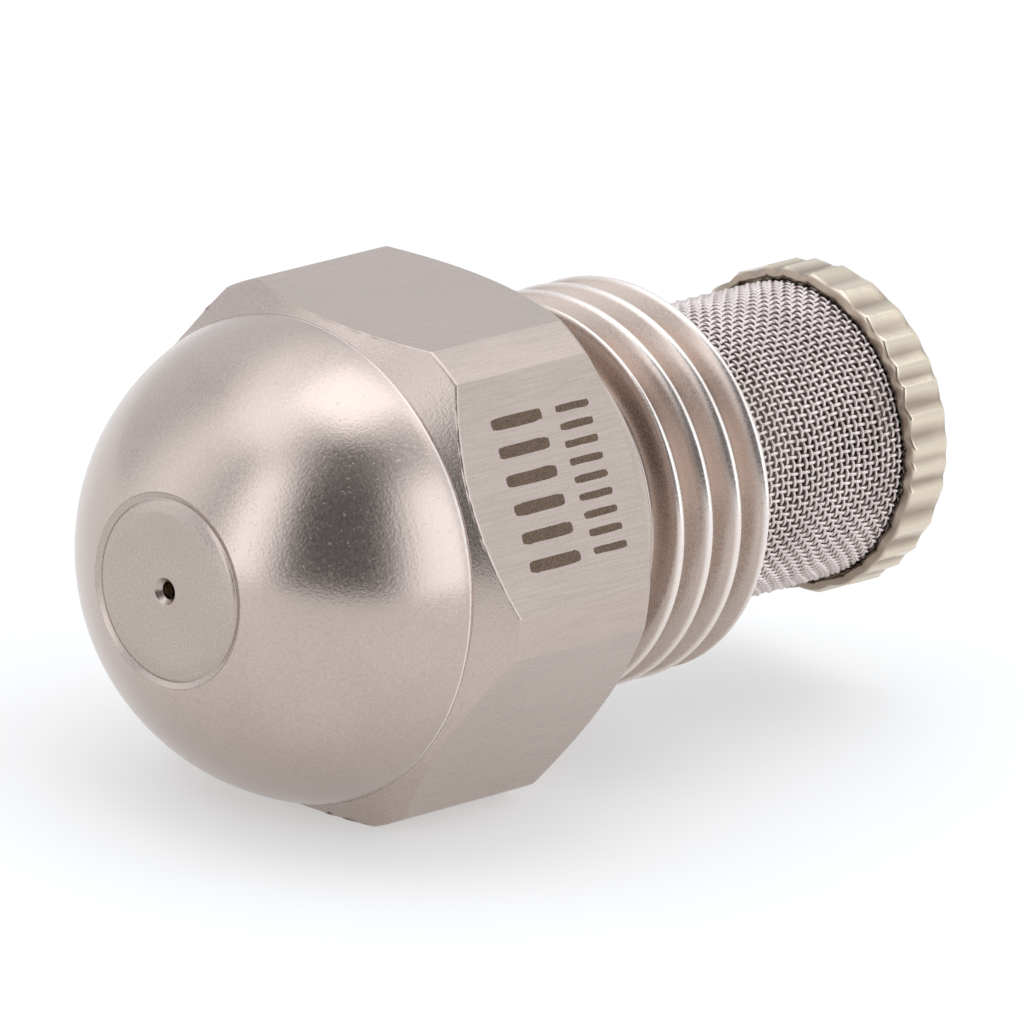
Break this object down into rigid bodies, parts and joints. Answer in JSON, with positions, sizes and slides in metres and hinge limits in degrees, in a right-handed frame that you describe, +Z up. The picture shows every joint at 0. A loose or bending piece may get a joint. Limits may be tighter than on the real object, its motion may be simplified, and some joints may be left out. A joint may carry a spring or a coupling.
{
  "type": "oil burner nozzle",
  "caption": "Domed spray nozzle with a hexagon, a pipe thread and a screwed-in woven-mesh strainer with a pleated end cap.",
  "frame": {"origin": "centre of the flat seat behind the hexagon, on the nozzle's axis", "axes": "+X along the axis from the spray tip towards the strainer, +Z up, square to a flat of the hexagon"},
  "size_m": [0.0308, 0.0176, 0.016],
  "materials": {
    "body_steel": "satin tumbled stainless steel",
    "insert_steel": "turned stainless steel",
    "inner_brass": "turned brass",
    "gasket_metal": "soft matt aluminium",
    "mesh_wire": "plain woven stainless wire",
    "cap_metal": "thin nickel-plated brass"
  },
  "bodies": {
    "nozzle": {"nozzle_body": "body_steel", "orifice_insert": "insert_steel", "swirl_core": "inner_brass", "retaining_screw": "inner_brass"},
    "gasket": {"strainer_gasket": "gasket_metal"},
    "strainer": {"strainer_stem": "inner_brass", "strainer_mesh": "mesh_wire", "mesh_collar": "inner_brass", "strainer_cap": "cap_metal"}
  },
  "joints": [
    {"name": "strainer_travel", "type": "slide", "parent": "nozzle", "child": "gasket", "axis": [1, 0, 0], "range_m": [0, 0.003]},
    {"name": "strainer_turn", "type": "hinge", "parent": "gasket", "child": "strainer", "pos_m": [0, 0, 0], "axis": [1, 0, 0], "range_deg": [0, 1080]}
  ],
  "couplings": [
    {"joint": "strainer_travel", "follows": "strainer_turn", "m_per_rad": 0.00015915}
  ]
}
